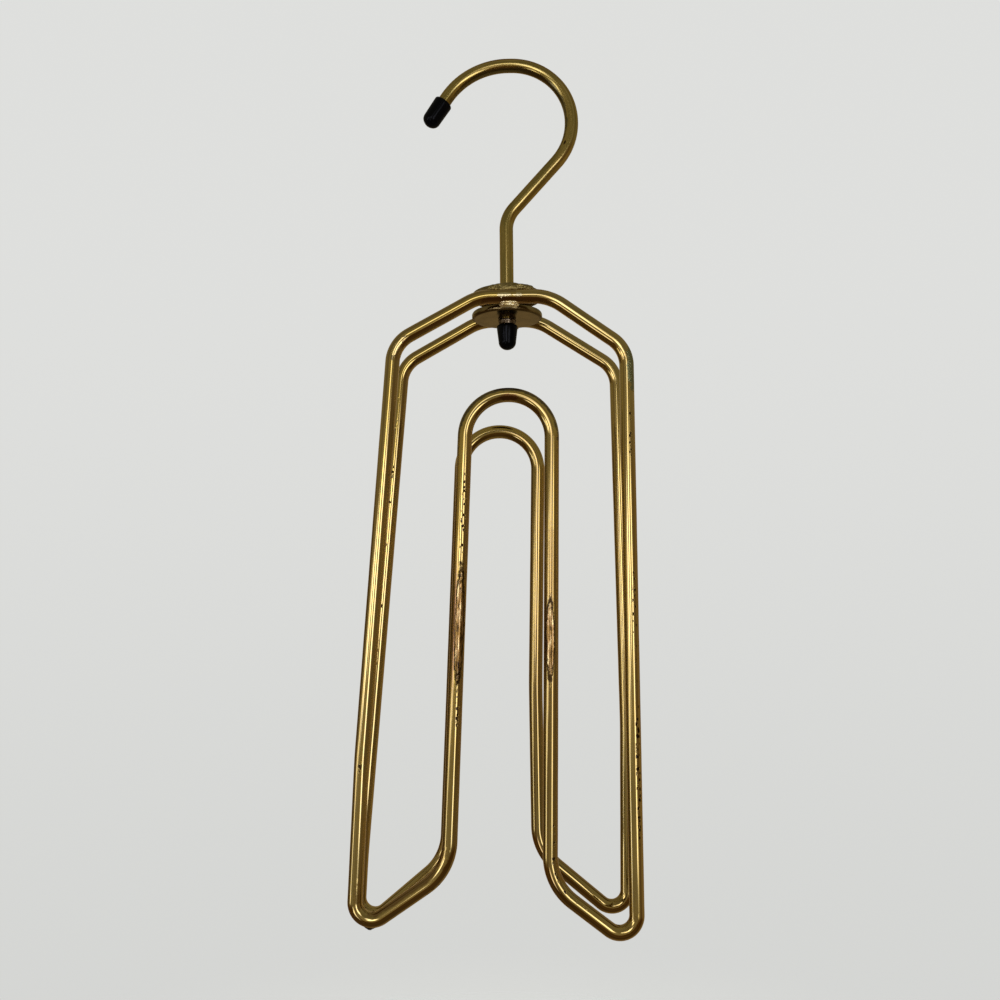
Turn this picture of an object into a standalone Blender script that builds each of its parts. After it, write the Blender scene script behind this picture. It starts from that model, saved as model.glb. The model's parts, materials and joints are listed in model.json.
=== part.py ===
# Tie hanger: two bent wire loops brazed to a pair of discs that swivel on the stem of a wire hook.
# Units are metres and +Z is up. The origin is inside the top of the hook, where it sits on a rod.
# +X is to the right and the front loop faces -Y.

import math

import bmesh
import bpy
from mathutils import Matrix, Vector

# Stock and running clearances
wire_diameter = 0.0050
fit_gap = 0.0003  # between pieces that touch on the real hanger

# Discs
disc_diameter = 0.0256
disc_thickness = 0.0024
disc_edge_radius = 0.0009
disc_spacing = 0.0048  # clear space between the two discs
disc_rise = 0.0008  # middle of the pair of discs above the loops' top bars

# Loops
loop_height = 0.2200  # from the top bar down to the foot corners
loop_half_width = 0.0480
bar_bend_radius = 0.0175
shoulder_bend_radius = 0.0115
foot_bend_radius = 0.0057
heel_bend_radius = 0.0180
bow_radius = 0.2500  # slight bow of the hand-bent legs

# Hook
hook_height = 0.0934  # from the loops' top bars to the wire's middle at the hook's top
hook_reach = 0.0246  # from the stem's axis to the wire's middle at the hook's right side
hook_knee_height = 0.03445  # where the stem leans over, above the loops' top bars
hook_lean = math.radians(48.3)  # slanted run, above the horizontal
hook_tip_start = 0.0135  # left of the stem's axis, where the top and the tip's line meet
hook_tip_fall = math.radians(56.2)  # the tip's line, below the horizontal
hook_tip_run = 0.0260  # along the tip's line to the end of the wire
knee_bend_radius = 0.0120
side_bend_radius = 0.0230
top_bend_radius = 0.0222
tip_bend_radius = 0.0276
stem_drop = 0.0135  # end of the stem below the loops' top bars

# Swaged ring of the stem, just above the upper disc
ring_diameter = 0.0060
ring_height = 0.0013
ring_edge = 0.0003

# Collar pressed on the stem, under the lower disc
collar_diameter = 0.0065
collar_height = 0.0016
collar_edge_radius = 0.0004

# Caps pushed on both ends of the hook's wire
stem_cap_diameter = 0.0076
stem_cap_nose_diameter = 0.0064
tip_cap_diameter = 0.0070
tip_cap_nose_diameter = 0.0067
tip_cap_length = 0.0110
cap_nose_length = 0.0030
cap_end_wall = 0.0015
cap_lip_radius = 0.0006

# Brazed beads, each filling a corner between a top bar and the rim of a disc
upper_bead_length = 0.0125
upper_bead_shift = 0.0018  # the bead's middle, right of the stem's axis
upper_bead_radius = 0.0018
lower_bead_length = 0.0072
lower_bead_shift = 0.0010
lower_bead_radius = 0.0015

# Fineness of the round shapes
wire_bevel_resolution = 4
bend_step = math.radians(8)
turned_steps = 48
weld_distance = 0.000003  # joins the ends of a turned outline
edge_points = 5
cutter_sides = 48
cutter_overrun = 0.0020
bead_segments = 24
bead_rings = 14

wire_radius = wire_diameter / 2
disc_radius = disc_diameter / 2
bore_radius = wire_radius + fit_gap
bar_z = -(hook_height - wire_radius)  # level of the loops' top bars
loop_y = disc_radius + fit_gap + wire_radius  # the top bars lie against the discs' rims
lower_disc_z = bar_z + disc_rise - disc_spacing / 2 - disc_thickness
upper_disc_z = bar_z + disc_rise + disc_spacing / 2
collar_top_z = lower_disc_z - fit_gap
cap_mouth_z = collar_top_z - collar_height - fit_gap
stem_end_z = bar_z - stem_drop
stem_cap_length = cap_mouth_z - (stem_end_z - fit_gap - cap_end_wall)

# The hook's top and its tip's bend meet above the rod's middle, which sets the stem's place
stem_x = -(tip_bend_radius * math.tan(hook_tip_fall / 2) - hook_tip_start)

# Corners of each loop: across as a share of loop_half_width from the stem's axis to the right,
# down as a share of loop_height, and the bend that rounds the corner. They go round from the
# left end of the top bar: down the right leg, along the right foot, up and over the arch,
# down to the left foot and back up the left leg. Both loops are bent by hand and hang a little
# to the left, so no two corners match.
front_corner_shares = {
    "left_bar_end": (-0.203, 0.001, bar_bend_radius),
    "right_bar_end": (0.305, 0.001, bar_bend_radius),
    "right_shoulder": (0.860, 0.0877, shoulder_bend_radius),
    "right_foot": (0.848, 1.000, foot_bend_radius),
    "right_heel": (0.260, 0.904, heel_bend_radius),
    "right_arch": (0.319, 0.160, None),
    "left_arch": (-0.297, 0.160, None),
    "left_heel": (-0.434, 0.8835, heel_bend_radius),
    "left_foot": (-1.0885, 0.9775, foot_bend_radius),
    "left_bow": (-1.037, 0.716, bow_radius),
    "left_shoulder": (-0.8215, 0.0755, shoulder_bend_radius),
}
back_corner_shares = {
    "left_bar_end": (-0.215, 0.000, bar_bend_radius),
    "right_bar_end": (0.239, 0.000, bar_bend_radius),
    "right_shoulder": (0.851, 0.0865, shoulder_bend_radius),
    "right_bow": (0.878, 0.685, bow_radius),
    "right_foot": (0.852, 1.005, foot_bend_radius),
    "right_heel": (0.196, 0.888, heel_bend_radius),
    "right_inner_bow": (0.190, 0.620, bow_radius),
    "right_arch": (0.2335, 0.1939, None),
    "left_arch": (-0.358, 0.1939, None),
    "left_heel": (-0.4915, 0.8993, heel_bend_radius),
    "left_foot": (-1.1605, 1.018, foot_bend_radius),
    "left_bow": (-1.132, 0.894, bow_radius),
    "left_shoulder": (-0.827, 0.0765, shoulder_bend_radius),
}


def clear_scene():
    for old in list(bpy.data.objects):
        bpy.data.objects.remove(old)


def new_collection(name):
    collection = bpy.data.collections.new(name)
    bpy.context.scene.collection.children.link(collection)
    return collection


def finish(name, colour, roughness, metallic):
    material = bpy.data.materials.new(name)
    material.use_nodes = True
    shader = material.node_tree.nodes["Principled BSDF"]
    shader.inputs["Base Color"].default_value = (*colour, 1)
    shader.inputs["Roughness"].default_value = roughness
    shader.inputs["Metallic"].default_value = metallic
    return material


def add_object(name, data, material, parent=None, world=Matrix()):
    piece = bpy.data.objects.new(name, data)
    parts.objects.link(piece)
    data.materials.append(material)
    if parent:
        piece.parent = parent
        piece.matrix_parent_inverse = parent.matrix_world.inverted()
    piece.matrix_basis = world
    return piece


def add_pivot(name, place):
    pivot = bpy.data.objects.new(name, None)
    parts.objects.link(pivot)
    pivot.matrix_world = Matrix.Translation(place)
    return pivot


# Bent wire

def rounded_path(corners, closed):
    """Points in the XZ plane along the straight runs and the arcs between the corners."""
    points = []
    last = len(corners) - 1
    for i, (x, z, radius) in enumerate(corners):
        corner = Vector((x, z))
        if not closed and i in (0, last):
            points.append(corner)
            continue
        back = (Vector(corners[i - 1][:2]) - corner).normalized()
        ahead = (Vector(corners[(i + 1) % len(corners)][:2]) - corner).normalized()
        turn = math.pi - back.angle(ahead)
        centre = corner + (back + ahead).normalized() * (radius / math.cos(turn / 2))
        start = corner + back * (radius * math.tan(turn / 2)) - centre
        sense = 1 if back.x * ahead.y - back.y * ahead.x < 0 else -1
        steps = max(2, math.ceil(turn / bend_step))
        for step in range(steps + 1):
            spoke = start.copy()
            spoke.rotate(Matrix.Rotation(sense * turn * step / steps, 2))
            points.append(centre + spoke)
    return points


def wire_curve(name, points, closed, thickening=None):
    """A POLY curve through the points, with an optional list of radius factors."""
    curve = bpy.data.curves.new(name, "CURVE")
    curve.dimensions = "3D"
    curve.bevel_depth = wire_radius
    curve.bevel_resolution = wire_bevel_resolution
    curve.use_fill_caps = not closed
    spline = curve.splines.new("POLY")
    spline.points.add(len(points) - 1)
    for i, (x, z) in enumerate(points):
        spline.points[i].co = (x, 0, z, 1)
        spline.points[i].radius = thickening[i] if thickening else 1
    spline.use_cyclic_u = closed
    spline.use_smooth = True
    return curve


def make_loop(name, corner_shares, y, material, parent):
    arch_radius = (corner_shares["right_arch"][0] - corner_shares["left_arch"][0]) * loop_half_width / 2
    arch_lean = math.atan2(
        (corner_shares["left_arch"][0] - corner_shares["left_heel"][0]) * loop_half_width,
        (corner_shares["left_heel"][1] - corner_shares["left_arch"][1]) * loop_height,
    )
    corners = []
    for across, down, radius in corner_shares.values():
        corners.append((
            across * loop_half_width,
            -down * loop_height,
            radius or arch_radius * math.cos(arch_lean),
        ))
    curve = wire_curve(name, rounded_path(corners, True), True)
    return add_object(name, curve, material, parent, Matrix.Translation((stem_x, y, bar_z)))


def make_hook(material):
    knee_z = bar_z + hook_knee_height
    side_x = stem_x + hook_reach
    top_z = bar_z + hook_height
    tip_x = stem_x - hook_tip_start
    ring_low = upper_disc_z + disc_thickness + fit_gap
    ring_high = ring_low + ring_height
    run = Vector((-math.cos(hook_tip_fall), -math.sin(hook_tip_fall))) * hook_tip_run
    bends = rounded_path(
        [
            (stem_x, ring_high + ring_height, 0),
            (stem_x, knee_z, knee_bend_radius),
            (side_x, knee_z + hook_reach * math.tan(hook_lean), side_bend_radius),
            (side_x, top_z, top_bend_radius),
            (tip_x, top_z, tip_bend_radius),
            (tip_x + run.x, top_z + run.y, 0),
        ],
        False,
    )
    swage = ring_diameter / wire_diameter
    stem = [
        (stem_x, stem_end_z, 1),
        (stem_x, ring_low, 1),
        (stem_x, ring_low + ring_edge, swage),
        (stem_x, ring_high - ring_edge, swage),
        (stem_x, ring_high, 1),
    ]
    points = [Vector(place[:2]) for place in stem] + bends
    thickening = [place[2] for place in stem] + [1] * len(bends)
    return add_object("hook", wire_curve("hook", points, False, thickening), material)


# Turned pieces

def quarter_round(radius_at, level_at, radius, first, last):
    """Points of a small rounded edge about (radius_at, level_at), from the angle first to last."""
    points = []
    for i in range(edge_points):
        angle = first + (last - first) * i / (edge_points - 1)
        points.append((radius_at + radius * math.cos(angle), level_at + radius * math.sin(angle)))
    return points


def turned_mesh(name, profile, ring):
    """A mesh of the profile's edges in the XZ plane, closed into a ring or open at the axis."""
    mesh = bpy.data.meshes.new(name)
    shape = bmesh.new()
    verts = [shape.verts.new((across, 0, up)) for across, up in profile]
    for a, b in zip(verts, verts[1:] + verts[:1] * ring):
        shape.edges.new((a, b))
    shape.to_mesh(mesh)
    shape.free()
    return mesh


def spin(piece):
    screw = piece.modifiers.new("turned", "SCREW")
    screw.axis = "Z"
    screw.steps = turned_steps
    screw.render_steps = turned_steps
    screw.use_merge_vertices = True
    screw.merge_threshold = weld_distance
    screw.use_smooth_shade = True
    return piece


def make_disc(name, low_z, material, parent):
    rim = disc_radius - disc_edge_radius
    profile = (
        [(bore_radius, disc_thickness)]
        + quarter_round(rim, disc_thickness - disc_edge_radius, disc_edge_radius, math.pi / 2, 0)
        + quarter_round(rim, disc_edge_radius, disc_edge_radius, 0, -math.pi / 2)
        + [(bore_radius, 0)]
    )
    mesh = turned_mesh(name, profile, True)
    return spin(add_object(name, mesh, material, parent, Matrix.Translation((stem_x, 0, low_z))))


def make_collar(material):
    edge = collar_diameter / 2 - collar_edge_radius
    profile = (
        [(bore_radius, 0), (collar_diameter / 2, 0)]
        + quarter_round(edge, collar_edge_radius - collar_height, collar_edge_radius, 0, -math.pi / 2)
        + [(bore_radius, -collar_height)]
    )
    mesh = turned_mesh("retaining_collar", profile, True)
    place = Matrix.Translation((stem_x, 0, collar_top_z))
    return spin(add_object("retaining_collar", mesh, material, None, place))


def make_cap(name, length, diameter, nose_diameter, world, material):
    """A cap with its mouth at the origin and its nose down."""
    nose_start = -(length - cap_nose_length)
    lip = diameter / 2 - cap_lip_radius
    nose = [
        (nose_diameter / 2 * math.cos(angle), nose_start - cap_nose_length * math.sin(angle))
        for angle in (math.pi / 2 * i / (2 * edge_points) for i in range(2 * edge_points))
    ]
    profile = (
        [(0, -(length - cap_end_wall)), (bore_radius, -(length - cap_end_wall)), (bore_radius, 0)]
        + quarter_round(lip, -cap_lip_radius, cap_lip_radius, math.pi / 2, 0)
        + nose
        + [(0, -length)]
    )
    return spin(add_object(name, turned_mesh(name, profile, False), material, None, world))


# Brazing

def cylinder_cutter(name, radius, depth, world):
    mesh = bpy.data.meshes.new(name)
    shape = bmesh.new()
    bmesh.ops.create_cone(
        shape, cap_ends=True, segments=cutter_sides, radius1=radius, radius2=radius, depth=depth
    )
    shape.to_mesh(mesh)
    shape.free()
    cutter = bpy.data.objects.new(name, mesh)
    cutters.objects.link(cutter)
    cutter.matrix_basis = world
    cutter.hide_render = True
    cutter.display_type = "WIRE"
    return cutter


def make_bead(name, side, up, length, shift, radius, cut_by, material, parent):
    """A bead in the corner above (up=1) or below (up=-1) a top bar, cut clear of bar and disc."""
    rim_z = upper_disc_z if up > 0 else lower_disc_z + disc_thickness
    rim = Vector((disc_radius, rim_z + up * disc_thickness / 2))
    bar = Vector((loop_y, bar_z))
    middle = (rim + bar + Vector((wire_radius, up * disc_thickness)) / 2) / 2
    mesh = bpy.data.meshes.new(name)
    shape = bmesh.new()
    bmesh.ops.create_uvsphere(
        shape, u_segments=bead_segments, v_segments=bead_rings, radius=radius,
        matrix=Matrix.Rotation(math.pi / 2, 4, "Y"),
    )
    bmesh.ops.scale(shape, vec=(length / 2 / radius, 1, 1), verts=shape.verts)
    shape.to_mesh(mesh)
    shape.free()
    place = Matrix.Translation((stem_x + shift, side * middle.x, middle.y))
    bead = add_object(name, mesh, material, parent, place)
    for cutter in cut_by:
        cut = bead.modifiers.new(cutter.name, "BOOLEAN")
        cut.object = cutter
        cut.solver = "EXACT"
    mesh.shade_smooth()
    return bead


clear_scene()
parts = new_collection("tie_hanger")
cutters = new_collection("cutters")

brass_wire = finish("lacquered_brass_wire", (0.45, 0.30, 0.09), 0.28, 1.0)
brass_disc = finish("lacquered_brass_disc", (0.38, 0.27, 0.11), 0.22, 1.0)
dark_brass = finish("darkened_brass", (0.20, 0.13, 0.06), 0.35, 1.0)
braze_metal = finish("brazing", (0.50, 0.36, 0.12), 0.42, 1.0)
black_vinyl = finish("black_vinyl", (0.012, 0.012, 0.013), 0.35, 0.0)

# The hook and what is fixed on it
make_hook(brass_wire)
make_collar(dark_brass)
make_cap(
    "stem_end_cap",
    stem_cap_length,
    stem_cap_diameter,
    stem_cap_nose_diameter,
    Matrix.Translation((stem_x, 0, cap_mouth_z)),
    black_vinyl,
)
tip_wire_end = hook_tip_run + fit_gap + cap_end_wall - tip_cap_length
tip_mouth = Vector((
    stem_x - hook_tip_start - tip_wire_end * math.cos(hook_tip_fall),
    0,
    bar_z + hook_height - tip_wire_end * math.sin(hook_tip_fall),
))
tip_turned = Matrix.Rotation(math.pi / 2 - hook_tip_fall, 4, "Y")
make_cap(
    "hook_tip_cap",
    tip_cap_length,
    tip_cap_diameter,
    tip_cap_nose_diameter,
    Matrix.Translation(tip_mouth) @ tip_turned,
    black_vinyl,
)

# The frame that swivels on the stem
swivel = add_pivot("swivel", (stem_x, 0, bar_z))
make_disc("upper_disc", upper_disc_z, brass_disc, swivel)
make_disc("lower_disc", lower_disc_z, brass_disc, swivel)
for side_name, side, corner_shares in (
    ("front", -1, front_corner_shares),
    ("back", 1, back_corner_shares),
):
    make_loop(f"{side_name}_loop", corner_shares, side * loop_y, brass_wire, swivel)
    bar_cutter = cylinder_cutter(
        f"{side_name}_bar_clearance",
        wire_radius + fit_gap,
        upper_bead_length + 2 * cutter_overrun,
        Matrix.Translation((stem_x + upper_bead_shift, side * loop_y, bar_z))
        @ Matrix.Rotation(math.pi / 2, 4, "Y"),
    )
    for level, up, low_z in (("upper", 1, upper_disc_z), ("lower", -1, lower_disc_z)):
        disc_cutter = cylinder_cutter(
            f"{side_name}_{level}_disc_clearance",
            disc_radius + fit_gap,
            disc_thickness + 2 * fit_gap,
            Matrix.Translation((stem_x, 0, low_z + disc_thickness / 2)),
        )
        sizes = (
            (upper_bead_length, upper_bead_shift, upper_bead_radius)
            if up > 0
            else (lower_bead_length, lower_bead_shift, lower_bead_radius)
        )
        make_bead(
            f"{side_name}_{level}_braze", side, up, *sizes, (bar_cutter, disc_cutter), braze_metal, swivel
        )
print("tie hanger:", len(parts.objects), "objects")
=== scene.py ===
import json
import math

import bmesh
import bpy
from mathutils import Matrix, Vector, noise


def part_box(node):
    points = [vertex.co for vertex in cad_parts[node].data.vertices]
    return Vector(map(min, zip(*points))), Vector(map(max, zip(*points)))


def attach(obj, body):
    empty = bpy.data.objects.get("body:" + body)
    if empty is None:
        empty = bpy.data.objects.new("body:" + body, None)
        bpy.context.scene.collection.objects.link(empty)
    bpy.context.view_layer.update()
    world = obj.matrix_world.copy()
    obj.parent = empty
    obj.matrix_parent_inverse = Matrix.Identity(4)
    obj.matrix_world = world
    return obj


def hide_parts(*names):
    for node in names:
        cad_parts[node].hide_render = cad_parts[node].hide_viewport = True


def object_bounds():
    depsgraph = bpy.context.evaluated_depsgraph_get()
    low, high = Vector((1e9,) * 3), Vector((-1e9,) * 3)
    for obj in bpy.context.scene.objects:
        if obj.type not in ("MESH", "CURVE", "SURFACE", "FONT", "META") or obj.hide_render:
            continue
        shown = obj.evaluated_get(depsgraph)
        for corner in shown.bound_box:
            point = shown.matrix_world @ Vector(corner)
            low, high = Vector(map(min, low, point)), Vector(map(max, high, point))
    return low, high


# A tie hanger: two hand-bent brass wire loops brazed to a pair of discs, swivelling on a wire hook.
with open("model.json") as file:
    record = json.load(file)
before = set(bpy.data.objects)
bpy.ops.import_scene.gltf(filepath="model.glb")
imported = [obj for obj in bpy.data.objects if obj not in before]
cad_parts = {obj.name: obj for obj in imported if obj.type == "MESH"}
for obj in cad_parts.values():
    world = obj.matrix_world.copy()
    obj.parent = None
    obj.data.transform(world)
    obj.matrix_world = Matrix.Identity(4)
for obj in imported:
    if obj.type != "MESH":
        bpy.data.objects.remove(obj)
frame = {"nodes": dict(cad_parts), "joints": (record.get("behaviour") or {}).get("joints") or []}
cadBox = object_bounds()
swivel = Vector(frame["joints"][0]["pos_m"])  # on the stem's axis, level with the loops' top bars
stemX, barZ = swivel.x, swivel.z
gap = 0.0003  # between pieces that touch on the real hanger
samePoint = 1e-7  # points this close are one
scene = bpy.context.scene
scene.view_settings.view_transform = "Standard"
print("frame loaded:", len(frame["nodes"]), "nodes")

wire = {
    "radius": 0.0025,
    "sides": 40,
    "runStep": 0.0016,  # between two rings of a straight run
    "bendStep": math.radians(3),
    "seam": 0.00004,  # last stretch of a closed loop, hidden under the brazing
    "waver": 0.000022,  # drawn wire is never quite even
    "waverLength": 0.009,
    "calm": 0.004,  # it dies out this near the seam
}


class Signal:
    # wraps an output socket, so that shader maths reads as a Python expression
    def __init__(self, tree, socket):
        self.tree = tree
        self.socket = socket

    def math(self, operation, first, second=0.0):
        return self.tree.node("ShaderNodeMath", {"operation": operation}, {0: first, 1: second})

    def __add__(self, other):
        return self.math("ADD", self, other)

    def __radd__(self, other):
        return self.math("ADD", other, self)

    def __sub__(self, other):
        return self.math("SUBTRACT", self, other)

    def __rsub__(self, other):
        return self.math("SUBTRACT", other, self)

    def __mul__(self, other):
        return self.math("MULTIPLY", self, other)

    def __rmul__(self, other):
        return self.math("MULTIPLY", other, self)

    def __truediv__(self, other):
        return self.math("DIVIDE", self, other)

    def highest(self, other):
        return self.math("MAXIMUM", self, other)

    def squared(self):
        return self.math("POWER", self, 2.0)


class Finish:
    # the node tree of one material or of the world
    def __init__(self, owner):
        owner.use_nodes = True
        self.tree = owner.node_tree
        self.tree.nodes.clear()

    def node(self, kind, settings=None, sockets=None, output=0):
        made = self.tree.nodes.new(kind)
        for key, value in (settings or {}).items():
            setattr(made, key, value)
        for key, value in (sockets or {}).items():
            if isinstance(value, Signal):
                self.tree.links.new(value.socket, made.inputs[key])
            else:
                made.inputs[key].default_value = value
        return Signal(self, made.outputs[output]) if made.outputs else None

    def place(self):
        # object coordinates
        return self.node("ShaderNodeTexCoord", {}, {}, 3)

    def parts(self, vector):
        # the three numbers of a vector
        first = self.node("ShaderNodeSeparateXYZ", {}, {0: vector})
        return [Signal(self, output) for output in first.socket.node.outputs]

    def moved(self, vector, scale):
        return self.node("ShaderNodeVectorMath", {"operation": "MULTIPLY"}, {0: vector, 1: scale})

    def cloud(self, vector, scale, detail=2.0, roughness=0.5):
        return self.node("ShaderNodeTexNoise", {}, {
            "Vector": vector, "Scale": scale, "Detail": detail, "Roughness": roughness,
        })

    def cells(self, vector, output=0):
        sockets = {"Vector": vector, "Scale": 1.0}
        return self.node("ShaderNodeTexVoronoi", {"feature": "F1"}, sockets, output)

    def fade(self, value, low, high):
        return self.node("ShaderNodeMapRange", {"interpolation_type": "SMOOTHSTEP"}, {
            "Value": value, "From Min": low, "From Max": high, "To Min": 0.0, "To Max": 1.0,
        })

    def window(self, value, low, high, edge):
        return self.fade(value, low - edge, low + edge) * (1 - self.fade(value, high - edge, high + edge))

    def mixed(self, mask, first, second):
        made = self.tree.nodes.new("ShaderNodeMix")
        made.data_type = "RGBA"
        for key, value in ((0, mask), (6, first), (7, second)):
            if isinstance(value, Signal):
                self.tree.links.new(value.socket, made.inputs[key])
            elif key == 0:
                made.inputs[key].default_value = value
            else:
                made.inputs[key].default_value = (*value, 1)
        return Signal(self, made.outputs[2])

    def bump(self, height, distance):
        sockets = {"Height": height, "Distance": distance, "Strength": 1.0}
        return self.node("ShaderNodeBump", {}, sockets)

    def surface(self, sockets):
        shader = self.node("ShaderNodeBsdfPrincipled", {}, sockets)
        self.node("ShaderNodeOutputMaterial", {}, {"Surface": shader})


def newMaterial(name):
    material = bpy.data.materials.new(name)
    return material, Finish(material)


# Finishes

brass = {
    "plain": (0.305, 0.210, 0.052),
    "pale": (0.420, 0.320, 0.130),
    "gold": (0.385, 0.262, 0.045),
    "olive": (0.185, 0.140, 0.034),
    "brown": (0.150, 0.082, 0.018),
    # also painted as dark reflection on the top bar's lower half and under the hook's top
    "red": (0.100, 0.030, 0.006),
    "copper": (0.250, 0.150, 0.060),
    "crust": (0.022, 0.011, 0.004),
    "verdigris": (0.125, 0.135, 0.065),
    # painted dark reflection along the top of the arch and the hook's outer side
    "grime": (0.060, 0.052, 0.026),
    # paler solder, laid along the bar's highlight band: partly real solder, partly painted highlight
    "solder": (0.440, 0.365, 0.195),
    "roughness": 0.075,
    "coat": 0.55,  # lacquer, worn through on the marks
    "coatDulled": 0.4,  # how much of it a dull wire has lost
    "coatRoughness": 0.04,
    "edge": (0.86, 0.66, 0.42, 1),  # what the metal turns to at a glancing view
    "grain": 0.00005,  # how deep the drawn lines are
}

# patterns on the wire: how fine along it and across it, how many octaves and how rough
patterns = {
    "drawn": (4, 760, 2, 0.50),
    "line": (5, 1350, 1, 0.50),
    "ridge": (4, 640, 0, 0.50),
    "broad": (24, 160, 3, 0.55),
    "mottle": (70, 620, 3, 0.55),
    "fleck": (150, 800, 4, 0.60),
    "speck": (2600, 2600, 2, 0.60),
    "ragged": (420, 420, 5, 0.62),
}


class WireSkin:
    # the finish of one wire: drawn metal first, then the marks on it, one over another
    def __init__(self, name, roughness, dull):
        self.material, self.finish = newMaterial(name)
        finish = self.finish
        self.spot = finish.node("ShaderNodeAttribute", {"attribute_name": "wirePlace"}, {}, 1)
        self.along, self.side, front = finish.parts(self.spot)
        self.facing = finish.fade(front, -0.0006, 0.0004)  # marks stay on the side that the photograph shows
        self.dull = dull
        self.bare = None
        self.speck, self.ragged = self.pattern("speck"), self.pattern("ragged")
        drawn, line, broad = self.pattern("drawn"), self.pattern("line"), self.pattern("broad")
        mottle = self.pattern("mottle")
        self.colour = finish.mixed(finish.fade(drawn, 0.50, 0.62) * 0.8, brass["plain"], brass["gold"])
        self.paint(finish.fade(drawn * 0.5 + broad * 0.5, 0.50, 0.38) * 0.6, "olive")
        self.paint(finish.fade(line, 0.47, 0.35) * 0.65, "brown")
        self.paint(finish.fade(line, 0.56, 0.70) * 0.4, "pale")
        self.paint(finish.fade(self.speck, 0.70, 0.78) * 0.6, "brown")
        self.paint(finish.fade(mottle, 0.35, 0.65) * dull, "olive")
        self.rough = roughness + 0.06 * broad + 0.05 * line + 0.08 * dull * mottle - 0.05
        self.height = self.pattern("ridge") + 0.06 * line

    def pattern(self, name):
        along, across, detail, roughness = patterns[name]
        stretched = self.finish.moved(self.spot, (along, across, across))
        return self.finish.cloud(stretched, 1.0, detail, roughness)

    def paint(self, mask, shade):
        self.colour = self.finish.mixed(mask, self.colour, brass[shade])

    def torn(self, offset, amount):
        # the edge of a mark, frayed
        return offset + (self.ragged - 0.5) * amount

    def pits(self, mark, offset):
        finish, spacing, few = self.finish, mark["spacing"], mark["few"]
        spread = finish.moved(self.spot, (spacing, spacing * 1.3, spacing * 1.3))
        chance = finish.node("ShaderNodeSeparateColor", {}, {0: finish.cells(spread, 1)})
        mask = finish.fade(finish.cells(spread), 0.52, 0.36) * finish.fade(chance, few, few + 0.06)
        mask = mask * finish.fade(offset, 1.2, 0.7) * self.facing
        self.paint(mask, "crust")
        self.rough = self.rough + mask * 0.35
        self.height = self.height - mask * 1.2
        return mask

    def copper(self, mark, offset):
        # the plating is gone: flecked copper with a dark crust round it, and red on one flank
        finish, turn = self.finish, mark["flank"]
        edge = self.torn(offset, 2.0)
        mask = finish.fade(edge, 1.10, 0.90) * self.facing
        rim = finish.fade(edge, 1.90, 1.30) * self.facing * (1 - mask)
        level, width = acrossWire(mark)
        flank = finish.fade(self.side * turn, level * turn + width * 0.8, level * turn + width * 1.2)
        flank = flank * finish.fade(offset, 4.5, 1.8) * self.facing
        fleck = self.pattern("fleck")
        blotch = finish.mixed(finish.fade(fleck, 0.46, 0.58), brass["brown"], brass["copper"])
        blotch = finish.mixed(finish.fade(fleck, 0.55, 0.62) * 0.9, blotch, brass["pale"])
        blotch = finish.mixed(finish.fade(fleck, 0.45, 0.38) * 0.9, blotch, brass["crust"])
        self.paint(flank * 0.8, "red")
        self.colour = finish.mixed(mask, self.colour, blotch)
        self.paint(rim * 0.95, "crust")
        self.rough = self.rough + mask * 0.14 + rim * 0.25
        self.height = self.height - mask * 0.8 - rim * 0.4 + mask * fleck * 1.6
        return (mask * 0.8).highest(rim)

    # a patch of one colour: real stains, and on some marks a painted dark reflection
    def stain(self, mark, offset):
        mask = self.finish.fade(self.torn(offset, 2.4), 1.15, 0.6) * self.facing
        self.paint(mask * mark["strength"], mark["shade"])
        self.rough = self.rough + mask * 0.06
        return mask * 0.3

    def verdigris(self, mark, offset):
        finish = self.finish
        mask = finish.fade(self.torn(offset, 3.0), 1.15, 0.75) * finish.fade(self.speck, 0.40, 0.52)
        mask = mask * self.facing
        self.paint(mask * 0.85, "verdigris")
        self.rough = self.rough + mask * 0.25
        self.height = self.height + mask * self.ragged
        return mask

    # solder skin over the wire, also a painted highlight along the bar's highlight band
    def solder(self, mark, offset):
        mask = self.finish.fade(self.torn(offset, 2.0), 1.10, 0.80) * self.facing
        self.paint(mask * 0.85, "solder")
        self.rough = self.rough + mask * 0.10
        self.height = self.height + mask * self.ragged * 1.2
        return mask

    def scuff(self, mark, offset):
        edge = self.torn(offset, 2.2)
        mask = self.finish.fade(edge, 1.10, 0.85) * self.facing
        rim = self.finish.fade(edge, 1.55, 1.15) * self.facing * (1 - mask)
        self.paint(mask * 0.6, "pale")
        self.paint(rim * 0.8, "crust")
        self.rough = self.rough + mask * 0.06
        self.height = self.height - mask * self.ragged * 0.7
        return mask * 0.5

    def dent(self, mark, offset):
        # a dent or crinkle: the light breaks up on it
        finish = self.finish
        mask = finish.fade(offset, 1.2, 0.5) * self.facing
        ripple = finish.cloud(self.spot, mark["ripple"], 1.0, 0.5)
        self.height = self.height + mask * ripple * mark["depth"]
        self.paint(mask * finish.fade(self.speck, 0.50, 0.60) * 0.6, "brown")
        return mask * 0.2

    def add(self, mark):
        painters = {
            "pits": self.pits,
            "copper": self.copper,
            "stain": self.stain,
            "verdigris": self.verdigris,
            "solder": self.solder,
            "scuff": self.scuff,
            "dent": self.dent,
        }
        level, width = acrossWire(mark)
        middle, reach = (mark["to"] + mark["from"]) / 2, (mark["to"] - mark["from"]) / 2
        offset = ((self.along - middle) / reach).squared() + ((self.side - level) / width).squared()
        worn = painters[mark["kind"]](mark, offset)
        self.bare = worn if self.bare is None else self.bare.highest(worn)

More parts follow.
